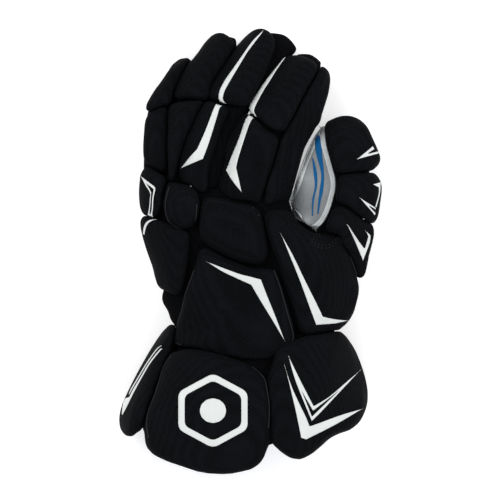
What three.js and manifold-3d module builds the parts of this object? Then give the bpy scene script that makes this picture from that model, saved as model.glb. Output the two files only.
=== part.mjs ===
// A left-hand lacrosse glove, palm down with its back up. Millimetres, +X to the thumb, +Y to the fingertips,
// +Z up, origin on the floor under the middle of the whole glove.
import * as THREE from "three";
import Module from "manifold-3d";
import { mergeVertices } from "three/addons/utils/BufferGeometryUtils.js";

const wasm = await Module();
wasm.setup();

// Lengths along the glove
const FINGER_REACH = 149.4; // knuckle line to middle fingertip
const PALM_REACH = 89.6; // wrist seam to knuckle line
const CUFF_REACH = 89.6; // cuff mouth to wrist seam
const MOUTH_LIP = 1.2; // how far the middle flap passes the cuff mouth

// Widths and depths
const HAND_SPAN = 149.4; // palm and thumb base together
const CUFF_WIDTH = 187; // widest place of the cuff
const CUFF_HEIGHT = 66; // crown of the cuff lining above the floor
const HAND_DEPTH = 50; // inner glove at the palm, back to palm
const STALL_DEPTH = 26; // inner glove at a finger, back to palm
const THUMB_DEPTH = 28; // thumb stall, back to palm

// Thicknesses
const FABRIC_WALL = 2; // back of the inner glove
const LEATHER_WALL = 2; // palm, finger and thumb leather
const LINING_WALL = 2.5; // cuff lining
const HAND_PAD = 9; // padding on the back of the hand
const FINGER_PAD = 7.5; // padding on the fingers
const THUMB_PAD = 8; // padding on the thumb
const CUFF_PAD = 12; // padding of the cuff flaps
const HAND_ROUND = 3; // rounding along the top edge of a pad on the hand
const FINGER_ROUND = 2.2; // the same on a finger or the thumb
const CUFF_ROUND = 4; // the same on a cuff flap
const PAD_SKIRT = 5; // how far a pad's side hangs below its own thickness
const PAD_CROWN = 2; // extra height in the middle of a pad
const FLAP_SKIRT = 6; // the same on a cuff flap
const PATCH_SINK = 0.7; // how far the leather is pressed flat where it rests
const CLEARANCE = 0.3; // between pieces that touch
const SEAM = 0.5; // parting between the fabric back and the leather palm

// Share of CUFF_WIDTH and HAND_SPAN that one unit of the across column stands for
const CUFF_UNITS = 1.25;
const OVAL_POWER = 2.4; // 2 is an ellipse, more is squarer
const RIM_SHARE = 0.965; // how far out on an oval a pad's surface is still read
const EDGE_SHARE = 0.3; // the most of an edge that a corner's or a rim's rounding takes

const PAD_COLUMNS = 5;
const FINGER_SIDES = 12;
const HAND_SIDES = 24;

// Tables

// Rows of numbers with named columns, as objects.
function rows(columns, values) {
  const names = columns.split(" ");
  return values.map((row) => Object.fromEntries(names.map((name, i) => [name, row[i]])));
}

// Station 0 is the cuff mouth, 1 the wrist seam, 2 the knuckle line and 3 the middle fingertip.
const MIDWAY = (FINGER_REACH + PALM_REACH + CUFF_REACH - MOUTH_LIP) / 2;

function along(station) {
  const cuff = Math.min(station, 1) * CUFF_REACH;
  const palm = Math.min(Math.max(station - 1, 0), 1) * PALM_REACH;
  const finger = Math.max(station - 2, 0) * FINGER_REACH;
  return cuff + palm + finger - MIDWAY;
}

// Across shares follow the hand, and below the wrist they pass over to the cuff.
function spanAt(station) {
  const share = Math.min(Math.max(station, 0), 1);
  return THREE.MathUtils.lerp(CUFF_WIDTH / CUFF_UNITS, HAND_SPAN, share);
}

function plan(row) {
  return new THREE.Vector2(row.across * spanAt(row.station), along(row.station));
}

// Inner glove: rise and deep are shares of the limb's depth, across and half are shares of the span.
const LIMB_COLUMNS = "station across half rise deep";
const HAND = {
  depth: HAND_DEPTH,
  wall: FABRIC_WALL,
  sides: HAND_SIDES,
  sections: rows(LIMB_COLUMNS, [
    [0.96, 0.03, 0.375, 0.47, 0.48],
    [1.2, 0.045, 0.385, 0.475, 0.49],
    [1.6, 0.02, 0.44, 0.52, 0.49],
    [1.85, -0.015, 0.45, 0.57, 0.46],
    [2.0, -0.09, 0.405, 0.62, 0.43],
    [2.14, -0.16, 0.355, 0.64, 0.38],
    [2.21, -0.165, 0.33, 0.63, 0.28],
  ]),
};
const FINGERS = {
  index: {
    sections: rows(LIMB_COLUMNS, [
      [2.06, -0.01, 0.11, 1.24, 0.5],
      [2.3, 0.01, 0.122, 1.25, 0.5],
      [2.445, 0.05, 0.13, 1.2, 0.5],
      [2.62, 0.145, 0.122, 1.0, 0.5],
      [2.77, 0.225, 0.112, 0.66, 0.46],
      [2.845, 0.268, 0.09, 0.42, 0.43],
      [2.885, 0.275, 0.04, 0.36, 0.24],
    ]),
  },
  middle: {
    sections: rows(LIMB_COLUMNS, [
      [2.06, -0.22, 0.09, 1.33, 0.5],
      [2.3, -0.215, 0.098, 1.34, 0.5],
      [2.445, -0.19, 0.1, 1.28, 0.5],
      [2.62, -0.1, 0.112, 1.1, 0.5],
      [2.79, 0.0, 0.11, 0.78, 0.46],
      [2.91, 0.083, 0.112, 0.42, 0.44],
      [2.98, 0.1, 0.045, 0.36, 0.24],
    ]),
  },
  ring: {
    sections: rows(LIMB_COLUMNS, [
      [2.06, -0.35, 0.07, 1.18, 0.47],
      [2.3, -0.355, 0.068, 1.16, 0.47],
      [2.445, -0.35, 0.068, 1.1, 0.47],
      [2.62, -0.31, 0.07, 0.92, 0.46],
      [2.77, -0.225, 0.08, 0.64, 0.44],
      [2.9, -0.15, 0.085, 0.4, 0.42],
      [2.965, -0.11, 0.04, 0.34, 0.22],
    ]),
  },
  pinky: {
    sections: rows(LIMB_COLUMNS, [
      [2.06, -0.465, 0.06, 0.92, 0.44],
      [2.3, -0.475, 0.06, 0.88, 0.44],
      [2.445, -0.47, 0.06, 0.82, 0.44],
      [2.62, -0.44, 0.06, 0.68, 0.43],
      [2.75, -0.375, 0.062, 0.5, 0.42],
      [2.82, -0.335, 0.055, 0.39, 0.41],
      [2.86, -0.315, 0.025, 0.33, 0.2],
    ]),
  },
};
for (const finger of Object.values(FINGERS))
  Object.assign(finger, { depth: STALL_DEPTH, wall: LEATHER_WALL, sides: FINGER_SIDES });

const THUMB = {
  depth: THUMB_DEPTH,
  wall: LEATHER_WALL,
  sides: FINGER_SIDES,
  sections: rows(LIMB_COLUMNS, [
    [1.78, 0.36, 0.1, 0.86, 0.5],
    [1.95, 0.38, 0.13, 0.84, 0.52],
    [2.09, 0.4, 0.195, 0.8, 0.52],
    [2.19, 0.41, 0.185, 0.74, 0.51],
    [2.31, 0.43, 0.175, 0.66, 0.5],
    [2.42, 0.455, 0.15, 0.56, 0.47],
    [2.5, 0.465, 0.11, 0.48, 0.43],
    [2.54, 0.465, 0.055, 0.44, 0.26],
  ]),
};

// Cuff lining: half is a share of the span, tall a share of CUFF_HEIGHT.
const CUFF_ARCH = rows("station across half tall", [
  [0, -0.045, 0.585, 1],
  [0.5, -0.02, 0.56, 0.93],
  [1.0, 0.02, 0.43, 0.81],
  [1.14, 0.035, 0.41, 0.78],
]);
// Where the lining ends, by its angle from the thumb side's floor edge (0) to the other floor edge (1).
const CUFF_MOUTH = rows("turn station", [
  [0, 0.66],
  [0.12, 0.48],
  [0.3, 0.2],
  [0.5, 0.08],
  [0.7, 0.1],
  [0.88, 0.3],
  [1, 0.42],
]);

// Plans of the pads
const PLAN_COLUMNS = "across station";
const PAD_PLANS = {
  pinky_tip_pad: rows(PLAN_COLUMNS, [
    [-0.505, 2.59],
    [-0.513, 2.615],
    [-0.475, 2.695],
    [-0.405, 2.79],
    [-0.315, 2.86],
    [-0.285, 2.855],
    [-0.32, 2.8],
    [-0.36, 2.74],
    [-0.392, 2.685],
    [-0.39, 2.638],
  ]),
  ring_tip_pad: rows(PLAN_COLUMNS, [
    [-0.378, 2.655],
    [-0.35, 2.73],
    [-0.305, 2.802],
    [-0.268, 2.858],
    [-0.22, 2.937],
    [-0.17, 2.98],
    [-0.12, 2.977],
    [-0.075, 2.935],
    [-0.113, 2.86],
    [-0.175, 2.768],
    [-0.212, 2.705],
    [-0.22, 2.657],
  ]),
  middle_tip_pad: rows(PLAN_COLUMNS, [
    [-0.21, 2.66],
    [-0.2, 2.71],
    [-0.168, 2.765],
    [-0.108, 2.855],
    [-0.045, 2.945],
    [0.0, 2.988],
    [0.035, 3],
    [0.078, 2.995],
    [0.12, 2.967],
    [0.13, 2.92],
    [0.105, 2.86],
    [0.06, 2.765],
    [-0.017, 2.612],
    [-0.09, 2.622],
    [-0.15, 2.643],
  ]),
  index_tip_pad: rows(PLAN_COLUMNS, [
    [-0.012, 2.61],
    [0.031, 2.7],
    [0.08, 2.79],
    [0.162, 2.872],
    [0.245, 2.877],
    [0.295, 2.86],
    [0.335, 2.828],
    [0.32, 2.78],
    [0.268, 2.68],
    [0.213, 2.57],
    [0.168, 2.488],
    [0.12, 2.495],
    [0.06, 2.548],
    [0.01, 2.583],
  ]),
  index_side_panel: rows(PLAN_COLUMNS, [
    [0.345, 2.822],
    [0.38, 2.807],
    [0.395, 2.76],
    [0.39, 2.685],
    [0.35, 2.56],
    [0.278, 2.415],
    [0.235, 2.29],
    [0.208, 2.195],
    [0.19, 2.11],
    [0.062, 2.105],
    [0.087, 2.225],
    [0.128, 2.345],
    [0.165, 2.455],
    [0.228, 2.565],
    [0.284, 2.675],
    [0.336, 2.778],
  ]),
  pinky_mid_pad: rows(PLAN_COLUMNS, [
    [-0.5, 2.575],
    [-0.518, 2.535],
    [-0.532, 2.42],
    [-0.53, 2.34],
    [-0.485, 2.32],
    [-0.45, 2.29],
    [-0.41, 2.28],
    [-0.416, 2.445],
    [-0.41, 2.612],
    [-0.45, 2.605],
  ]),
  ring_mid_pad: rows(PLAN_COLUMNS, [
    [-0.376, 2.63],
    [-0.243, 2.636],
    [-0.27, 2.575],
    [-0.33, 2.44],
    [-0.377, 2.32],
    [-0.384, 2.27],
    [-0.402, 2.265],
    [-0.404, 2.445],
    [-0.398, 2.6],
  ]),
  middle_mid_pad: rows(PLAN_COLUMNS, [
    [-0.22, 2.638],
    [-0.258, 2.565],
    [-0.32, 2.43],
    [-0.367, 2.305],
    [-0.37, 2.255],
    [-0.3, 2.23],
    [-0.228, 2.206],
    [-0.205, 2.345],
    [-0.175, 2.44],
    [-0.14, 2.52],
    [-0.103, 2.6],
  ]),
  index_mid_pad: rows(PLAN_COLUMNS, [
    [-0.08, 2.59],
    [-0.118, 2.51],
    [-0.155, 2.43],
    [-0.187, 2.335],
    [-0.208, 2.24],
    [-0.21, 2.172],
    [-0.075, 2.152],
    [0.046, 2.118],
    [0.074, 2.23],
    [0.115, 2.345],
    [0.142, 2.448],
    [0.09, 2.478],
    [0.03, 2.54],
    [-0.012, 2.575],
  ]),
  knuckle_side_pad: rows(PLAN_COLUMNS, [
    [-0.515, 2.31],
    [-0.545, 2.285],
    [-0.552, 2.18],
    [-0.545, 2.095],
    [-0.515, 2.062],
    [-0.47, 2.055],
    [-0.447, 2.12],
    [-0.437, 2.205],
    [-0.42, 2.255],
    [-0.46, 2.27],
  ]),
  knuckle_pad: rows(PLAN_COLUMNS, [
    [-0.395, 2.24],
    [-0.34, 2.205],
    [-0.262, 2.175],
    [-0.252, 2.14],
    [-0.265, 2.075],
    [-0.29, 2.003],
    [-0.35, 2.003],
    [-0.408, 2.04],
    [-0.427, 2.12],
    [-0.415, 2.205],
  ]),
  knuckle_wide_pad: rows(PLAN_COLUMNS, [
    [-0.23, 2.145],
    [-0.095, 2.127],
    [0.045, 2.1],
    [0.06, 2.015],
    [0.083, 1.792],
    [0.068, 1.724],
    [0.025, 1.72],
    [-0.06, 1.753],
    [-0.155, 1.82],
    [-0.235, 1.903],
    [-0.25, 1.95],
    [-0.238, 2.065],
  ]),
  pinky_side_pad: rows(PLAN_COLUMNS, [
    [-0.52, 2.045],
    [-0.54, 2.01],
    [-0.525, 1.883],
    [-0.48, 1.683],
    [-0.457, 1.508],
    [-0.405, 1.488],
    [-0.358, 1.433],
    [-0.337, 1.533],
    [-0.318, 1.725],
    [-0.3, 1.925],
    [-0.305, 1.979],
    [-0.36, 1.983],
    [-0.42, 2.022],
    [-0.47, 2.038],
  ]),
  back_pad: rows(PLAN_COLUMNS, [
    [-0.25, 1.85],
    [-0.205, 1.825],
    [-0.115, 1.742],
    [0.02, 1.662],
    [0.1, 1.672],
    [0.122, 1.65],
    [0.152, 1.508],
    [0.21, 1.183],
    [0.218, 1.092],
    [0.19, 1.035],
    [0.08, 0.91],
    [0.02, 0.91],
    [-0.07, 0.955],
    [-0.25, 1.03],
    [-0.378, 1.045],
    [-0.352, 1.225],
    [-0.31, 1.492],
    [-0.268, 1.7],
  ]),
  thumb_base_pad: rows(PLAN_COLUMNS, [
    [0.07, 2.085],
    [0.195, 2.093],
    [0.235, 2.075],
    [0.28, 1.992],
    [0.32, 1.955],
    [0.448, 1.944],
    [0.495, 1.767],
    [0.535, 1.575],
    [0.545, 1.492],
    [0.512, 1.283],
    [0.46, 1.175],
    [0.255, 1.13],
    [0.23, 1.3],
    [0.18, 1.533],
    [0.13, 1.767],
    [0.09, 1.983],
  ]),
  thumb_tip_pad: rows(PLAN_COLUMNS, [
    [0.383, 2.53],
    [0.42, 2.555],
    [0.475, 2.57],
    [0.53, 2.557],
    [0.58, 2.51],
    [0.628, 2.42],
    [0.652, 2.355],
    [0.635, 2.315],
    [0.595, 2.297],
    [0.43, 2.283],
    [0.402, 2.36],
    [0.383, 2.445],
  ]),
  thumb_mid_pad: rows(PLAN_COLUMNS, [
    [0.44, 2.265],
    [0.6, 2.28],
    [0.635, 2.272],
    [0.657, 2.225],
    [0.65, 2.155],
    [0.63, 2.07],
    [0.605, 2.037],
    [0.535, 2.085],
    [0.475, 2.13],
    [0.425, 2.133],
    [0.438, 2.2],
  ]),
  thumb_low_pad: rows(PLAN_COLUMNS, [
    [0.42, 2.11],
    [0.472, 2.108],
    [0.533, 2.062],
    [0.603, 2.015],
    [0.622, 1.958],
    [0.605, 1.833],
    [0.562, 1.642],
    [0.54, 1.64],
    [0.508, 1.76],
    [0.482, 1.88],
    [0.455, 1.967],
    [0.41, 1.979],
    [0.37, 1.996],
    [0.393, 2.047],
  ]),
  cuff_pad_pinky: rows(PLAN_COLUMNS, [
    [-0.393, 1.217],
    [-0.45, 1.108],
    [-0.505, 0.95],
    [-0.595, 0.683],
    [-0.647, 0.5],
    [-0.658, 0.367],
    [-0.64, 0.292],
    [-0.6, 0.263],
    [-0.565, 0.308],
    [-0.537, 0.375],
    [-0.51, 0.533],
    [-0.462, 0.742],
    [-0.442, 0.85],
    [-0.41, 0.99],
    [-0.39, 1.058],
    [-0.378, 1.18],
  ]),
  cuff_pad_middle: rows(PLAN_COLUMNS, [
    [-0.37, 0.979],
    [-0.26, 0.992],
    [-0.17, 0.967],
    [-0.015, 0.879],
    [0.065, 0.792],
    [0.09, 0.575],
    [0.094, 0.375],
    [0.08, 0.158],
    [0.03, 0.038],
    [-0.11, -0.013],
    [-0.24, 0],
    [-0.42, 0.092],
    [-0.5, 0.158],
    [-0.522, 0.258],
    [-0.516, 0.408],
    [-0.474, 0.6],
    [-0.44, 0.775],
    [-0.408, 0.92],
  ]),
  cuff_pad_thumb: rows(PLAN_COLUMNS, [
    [0.228, 1.083],
    [0.452, 1.14],
    [0.52, 0.95],
    [0.57, 0.775],
    [0.592, 0.6],
    [0.573, 0.467],
    [0.525, 0.346],
    [0.425, 0.267],
    [0.28, 0.125],
    [0.23, 0.1],
    [0.17, 0.142],
    [0.11, 0.238],
    [0.106, 0.45],
    [0.102, 0.642],
    [0.09, 0.8],
    [0.15, 0.935],
  ]),
};

// Sections and surfaces

function between(table, key, value, columns) {
  const last = table.length - 1;
  const at = table.findIndex((row, i) => i < last && value <= table[i + 1][key]);
  const from = table[at < 0 ? last - 1 : at];
  const to = table[at < 0 ? last : at + 1];
  const share = THREE.MathUtils.clamp((value - from[key]) / (to[key] - from[key]), 0, 1);
  return Object.fromEntries(columns.map((c) => [c, THREE.MathUtils.lerp(from[c], to[c], share)]));
}

// A limb's sections in millimetres: middle, height of the middle, half width and half depth.
function limbSections(limb) {
  return limb.sections.map((row) => ({
    y: along(row.station),
    x: row.across * spanAt(row.station),
    z: row.rise * limb.depth,
    half: row.half * spanAt(row.station),
    deep: row.deep * limb.depth,
  }));
}

const cuffSections = CUFF_ARCH.map((row) => ({
  y: along(row.station),
  x: row.across * spanAt(row.station),
  z: 0,
  half: row.half * spanAt(row.station),
  deep: row.tall * CUFF_HEIGHT,
}));
const sectionIn = (sections) => (y) => between(sections, "y", y, ["x", "z", "half", "deep"]);
const cuffAt = sectionIn(cuffSections);

function ovalHeight(share) {
  const r = Math.min(Math.abs(share), RIM_SHARE);
  return Math.pow(1 - Math.pow(r, OVAL_POWER), 1 / OVAL_POWER);
}

// The height of the padded surface over a limb at a place in plan.
function crest(sectionAt, padding) {
  return (x, y) => {
    const s = sectionAt(y);
    return s.z + (s.deep + padding) * ovalHeight((x - s.x) / (s.half + padding));
  };
}

// Solids

function geometryOf(vertices, faces) {
  const geometry = new THREE.BufferGeometry();
  geometry.setAttribute("position", new THREE.Float32BufferAttribute(vertices.flat(), 3));
  geometry.setIndex(faces.flat());
  return geometry;
}

function toSolid(geometry) {
  const bare = geometry.clone();
  bare.deleteAttribute("normal");
  bare.deleteAttribute("uv");
  const merged = mergeVertices(bare, 1e-4);
  const mesh = new wasm.Mesh({
    numProp: 3,
    vertProperties: merged.attributes.position.array,
    triVerts: new Uint32Array(merged.index.array),
  });
  return new wasm.Manifold(mesh);
}

function toGeometry(solid) {
  const mesh = solid.getMesh();
  const geometry = new THREE.BufferGeometry();
  geometry.setAttribute("position", new THREE.Float32BufferAttribute(mesh.vertProperties, 3));
  geometry.setIndex(new THREE.Uint32BufferAttribute(mesh.triVerts, 1));
  const flat = geometry.toNonIndexed();
  flat.computeVertexNormals();
  return flat;
}

function largest(solid) {
  return solid.decompose().reduce((best, body) => (body.volume() > best.volume() ? body : best));
}

// Side faces between rings of as many points each.
function sideFaces(rings) {
  const n = rings[0].length;
  const faces = [];
  for (let i = 0; i + 1 < rings.length; i++)
    for (let j = 0; j < n; j++) {
      const k = (j + 1) % n;
      const [a, b, c, d] = [i * n + j, i * n + k, (i + 1) * n + k, (i + 1) * n + j];
      faces.push([a, b, c], [a, c, d]);
    }
  return faces;
}

// A closed solid through rings, with a fan over the first and the last ring.
function fanned(rings) {
  const n = rings[0].length;
  const middle = (ring) => [0, 1, 2].map((k) => ring.reduce((sum, p) => sum + p[k], 0) / n);
  const vertices = [...rings.flat(), middle(rings[0]), middle(rings.at(-1))];
  const hub = rings.length * n;
  const last = hub - n;
  const faces = sideFaces(rings);
  for (let j = 0; j < n; j++) {
    const k = (j + 1) % n;
    faces.push([hub, k, j], [hub + 1, last + j, last + k]);
  }
  return geometryOf(vertices, faces);
}

// A closed solid through rings of an arch-shaped strip, closed at both ends by quads across the strip.
function stripped(rings) {
  const n = rings[0].length;
  const faces = sideFaces(rings);
  const cap = (base, flip) => {
    for (let j = 0; j < n / 2 - 1; j++) {
      const [a, b, c, d] = [base + j, base + j + 1, base + n - 2 - j, base + n - 1 - j];
      faces.push(...(flip ? [[a, c, b], [a, d, c]] : [[a, b, c], [a, c, d]]));
    }
  };
  cap(0, true);
  cap((rings.length - 1) * n, false);
  return geometryOf(rings.flat(), faces);
}

// An oval ring in a plane across Y.
function ovalRing(section, sides, grow) {
  return Array.from({ length: sides }, (_, i) => {
    const turn = (-2 * Math.PI * (i + 0.5)) / sides;
    const corner = (v) => Math.sign(v) * Math.pow(Math.abs(v), 2 / OVAL_POWER);
    return [
      section.x + (section.half + grow) * corner(Math.cos(turn)),
      section.y,
      section.z + (section.deep + grow) * corner(Math.sin(turn)),
    ];
  });
}

// A limb grown by a clearance, or shrunk by its wall, which also draws its closed tip in or out.
function limbSolid(limb, grow, openBy = 0) {
  const sections = limbSections(limb);
  const last = sections.length - 1;
  sections[last].y += grow;
  sections[0].y -= openBy;
  return toSolid(fanned(sections.map((s) => ovalRing(s, limb.sides, grow))));
}

// A slab that fills everything above, or below, a limb's middle height.
function sideOf(limb, direction) {
  const reach = direction * HAND_DEPTH * 2;
  const cut = (direction * SEAM) / 2;
  const sections = limbSections(limb);
  sections[0].y -= PALM_REACH;
  sections.at(-1).y += FINGER_REACH;
  const rings = sections.map((s) => {
    const [left, right] = [s.x - HAND_SPAN, s.x + HAND_SPAN];
    const [near, far] = [s.z + cut, s.z + reach].sort((a, b) => a - b);
    return [[left, s.y, near], [left, s.y, far], [right, s.y, far], [right, s.y, near]];
  });
  return toSolid(fanned(rings));
}

const floorSlab = (() => {
  const size = (FINGER_REACH + PALM_REACH + CUFF_REACH) * 2;
  const box = new THREE.BoxGeometry(size, size, HAND_DEPTH);
  return toSolid(box.translate(0, 0, -HAND_DEPTH / 2));
})();

const onFloor = (solid) => solid.subtract(floorSlab);

// Pads

// Each corner of a plan is cut off by two points.
function roundedPlan(points, round) {
  return points.flatMap((p, i) => {
    const before = points.at(i - 1);
    const after = points[(i + 1) % points.length];
    const enter = p.clone().lerp(before, Math.min(EDGE_SHARE, round / p.distanceTo(before)));
    const leave = p.clone().lerp(after, Math.min(EDGE_SHARE, round / p.distanceTo(after)));
    return [enter, leave];
  });
}

// A ring moved inwards by an amount, or outwards by a negative one.
function drawnIn(points, amount) {
  return points.map((p, i) => {
    const before = points.at(i - 1);
    const after = points[(i + 1) % points.length];
    const edge = after.clone().sub(before).normalize();
    return new THREE.Vector2(p.x - edge.y * amount, p.y + edge.x * amount);
  });
}

// Teeth across an outline, from one side of it to the other, that together are the shortest.
function teethAcross(rim) {
  const n = rim.length;
  const from = (start) =>
    Array.from({ length: n / 2 }, (_, j) => [rim[(start + j) % n], rim[(start + n - 1 - j) % n]]);
  const total = (teeth) => teeth.reduce((sum, [left, right]) => sum + left.distanceTo(right), 0);
  return rim.map((_, start) => from(start)).reduce((best, t) => (total(t) < total(best) ? t : best));
}

// A stuffed pad: its plan, the surface its top follows, how far its side hangs below the rim before it is
// seated, its edge rounding, and how much it is grown to make room for itself in its neighbours.
function padSolid(planRows, surface, drop, round, grow) {
  const corners = planRows.map(plan);
  if (THREE.ShapeUtils.area(corners) < 0) corners.reverse();
  const teeth = teethAcross(drawnIn(roundedPlan(corners, round), -grow));
  const middles = teeth.map(([left, right]) => left.clone().lerp(right, 0.5));
  const fromStart = middles.map((_, j) => pathLength(middles.slice(0, j + 1)));
  const upper = [];
  const lower = [];
  teeth.forEach(([left, right], j) => {
    const fromEnd = Math.min(fromStart[j], fromStart.at(-1) - fromStart[j]);
    const edge = Math.min(EDGE_SHARE, round / left.distanceTo(right));
    for (const share of [0, edge, 0.5, 1 - edge, 1]) {
      const { x, y } = left.clone().lerp(right, share);
      const onRim = share === 0 || share === 1;
      const fall = onRim ? round : round * Math.max(0, 1 - fromEnd / round);
      const swell = share === 0.5 ? Math.min(PAD_CROWN, fromEnd * EDGE_SHARE) : 0;
      upper.push([x, y, Math.max(surface(x, y) - fall + swell + grow, 2 * PATCH_SINK)]);
      lower.push([x, y, Math.max(surface(x, y) - round - drop - grow, PATCH_SINK)]);
    }
  });
  return toSolid(betweenGrids(lower, upper, PAD_COLUMNS));
}

function pathLength(points) {
  return points.reduce((sum, p, i) => sum + (i ? p.distanceTo(points[i - 1]) : 0), 0);
}

// A closed solid between a lower and an upper grid of as many columns and rows.
function betweenGrids(lower, upper, columns) {
  const rowCount = upper.length / columns;
  const over = lower.length;
  const faces = [];
  const at = (row, column) => row * columns + column;
  for (let i = 0; i + 1 < rowCount; i++)
    for (let c = 0; c + 1 < columns; c++) {
      const [p, q, r, s] = [at(i, c), at(i + 1, c), at(i + 1, c + 1), at(i, c + 1)];
      faces.push([over + p, over + q, over + r], [over + p, over + r, over + s]);
      faces.push([p, r, q], [p, s, r]);
    }
  const all = (count) => Array.from({ length: count - 1 }, (_, i) => i);
  const loop = [
    ...all(rowCount).map((i) => at(i, 0)),
    ...all(columns).map((c) => at(rowCount - 1, c)),
    ...all(rowCount).map((i) => at(rowCount - 1 - i, columns - 1)),
    ...all(columns).map((c) => at(0, columns - 1 - c)),
  ];
  loop.forEach((a, i) => {
    const b = loop[(i + 1) % loop.length];
    faces.push([a, b, over + b], [a, over + b, over + a]);
  });
  return geometryOf([...lower, ...upper], faces);
}

// The cuff lining: an arch open on the palm side, its mouth cut back at both floor edges.
function cuffArch() {
  const turns = Array.from({ length: HAND_SIDES + 1 }, (_, i) => i / HAND_SIDES);
  const ring = (section, mouth) => {
    const point = (turn, inset) => {
      const angle = Math.PI * turn;
      const corner = (v) => Math.sign(v) * Math.pow(Math.abs(v), 2 / OVAL_POWER);
      const station = mouth ? between(CUFF_MOUTH, "turn", turn, ["station"]).station : 0;
      const y = mouth ? along(station) : section.y;
      const at = mouth ? cuffAt(y) : section;
      return [
        at.x + (at.half - inset) * corner(Math.cos(angle)),
        y,
        (at.deep - inset) * corner(Math.sin(angle)),
      ];
    };
    const inner = turns.map((turn) => point(turn, LINING_WALL));
    const outer = turns.map((turn) => point(turn, 0)).reverse();
    return [...outer, ...inner];
  };
  const [, , ...rest] = cuffSections;
  const waist = rest.map((section) => ring(section, false));
  return toSolid(stripped([ring(null, true), ...waist]));
}

// Inner glove

const LIMBS = { ...FINGERS, thumb: THUMB };
const handOuter = limbSolid(HAND, 0);
const handRoom = limbSolid(HAND, CLEARANCE);
const outerOf = Object.fromEntries(Object.entries(LIMBS).map(([k, limb]) => [k, limbSolid(limb, 0)]));
const roomOf = Object.fromEntries(
  Object.entries(LIMBS).map(([k, limb]) => [k, limbSolid(limb, CLEARANCE)]),
);
const hollowOf = Object.fromEntries(
  Object.entries(LIMBS).map(([k, limb]) => [k, limbSolid(limb, -limb.wall)]),
);

// The hand's sleeve is open at the wrist and into each finger and the thumb.
const handHollow = limbSolid(HAND, -HAND.wall, HAND.wall);
let sleeve = handOuter.subtract(handHollow);
for (const hollow of Object.values(hollowOf)) sleeve = sleeve.subtract(hollow);

// A stall gives way to the hand and to the stalls that were laid before it.
const LAID = ["middle", "index", "ring", "pinky", "thumb"];
const stalls = {};
let taken = handRoom;
for (const name of LAID) {
  stalls[name] = outerOf[name].subtract(hollowOf[name]).subtract(taken);
  taken = taken.add(roomOf[name]);
}

// What no pad may enter: the inner glove and the cuff lining, each with its clearance.
const beyondMouth = { ...cuffSections[0], y: cuffSections[0].y - 2 * CUFF_ROUND };
const cuffRoom = toSolid(
  fanned(
    [beyondMouth, ...cuffSections].map((section) => ovalRing(section, 2 * HAND_SIDES, CLEARANCE)),
  ),
);
taken = taken.add(cuffRoom);

// The part

const fabric = new THREE.MeshStandardMaterial({ color: 0x141518, roughness: 0.85 });
const leather = new THREE.MeshStandardMaterial({ color: 0x9c9ea1, roughness: 0.6 });
const padding = new THREE.MeshStandardMaterial({ color: 0x101114, roughness: 0.75 });
const lining = new THREE.MeshStandardMaterial({ color: 0x1c3f7a, roughness: 0.9 });

const pieces = new THREE.Group();

function add(name, solid, material) {
  const mesh = new THREE.Mesh(toGeometry(largest(onFloor(solid))), material);
  mesh.name = name;
  pieces.add(mesh);
}

add("hand_back", sleeve.intersect(sideOf(HAND, 1)), fabric);
add("hand_palm", sleeve.intersect(sideOf(HAND, -1)), leather);
for (const [name, finger] of Object.entries(FINGERS)) {
  add(`${name}_back`, stalls[name].intersect(sideOf(finger, 1)), fabric);
  add(`${name}_palm`, stalls[name].intersect(sideOf(finger, -1)), leather);
}
add("thumb_leather", stalls.thumb, leather);

const limbSurface = (limb, thickness) => crest(sectionIn(limbSections(limb)), thickness);
const PAD_SEATS = {
  index_tip_pad: [FINGERS.index, FINGER_PAD],
  middle_tip_pad: [FINGERS.middle, FINGER_PAD],
  ring_tip_pad: [FINGERS.ring, FINGER_PAD],
  pinky_tip_pad: [FINGERS.pinky, FINGER_PAD],
  index_mid_pad: [FINGERS.index, FINGER_PAD],
  middle_mid_pad: [FINGERS.middle, FINGER_PAD],
  ring_mid_pad: [FINGERS.ring, FINGER_PAD],
  pinky_mid_pad: [FINGERS.pinky, FINGER_PAD],
  index_side_panel: [FINGERS.index, FINGER_PAD],
  knuckle_side_pad: [HAND, HAND_PAD],
  knuckle_pad: [HAND, HAND_PAD],
  knuckle_wide_pad: [HAND, HAND_PAD],
  pinky_side_pad: [HAND, HAND_PAD],
  back_pad: [HAND, HAND_PAD],
  thumb_base_pad: [HAND, HAND_PAD],
  thumb_tip_pad: [THUMB, THUMB_PAD],
  thumb_mid_pad: [THUMB, THUMB_PAD],
  thumb_low_pad: [THUMB, THUMB_PAD],
};

// Each pad gives way to the pads that were laid before it.
function addPad(name, surface, drop, round) {
  const raw = padSolid(PAD_PLANS[name], surface, drop, round, 0);
  add(name, raw.subtract(taken), padding);
  taken = taken.add(padSolid(PAD_PLANS[name], surface, drop, round, CLEARANCE));
}

for (const [name, [limb, thickness]] of Object.entries(PAD_SEATS)) {
  const round = limb === HAND ? HAND_ROUND : FINGER_ROUND;
  addPad(name, limbSurface(limb, thickness), thickness + PAD_SKIRT, round);
}

add("cuff_lining", cuffArch().subtract(handRoom), lining);

const cuffSurface = crest(cuffAt, CUFF_PAD);
for (const name of ["cuff_pad_pinky", "cuff_pad_middle", "cuff_pad_thumb"])
  addPad(name, cuffSurface, CUFF_PAD + FLAP_SKIRT, CUFF_ROUND);

// The rounded tips and flaps fall a little short of their plans, so the whole is centred on its own box.
const box = new THREE.Box3().setFromObject(pieces);
const centre = box.getCenter(new THREE.Vector3());
pieces.position.set(-centre.x, -centre.y, -box.min.z);

const glove = new THREE.Group();
glove.add(pieces);

export default glove;
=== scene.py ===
import math

import bmesh
import bpy
import numpy as np
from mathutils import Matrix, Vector
from mathutils.bvhtree import BVHTree


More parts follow.
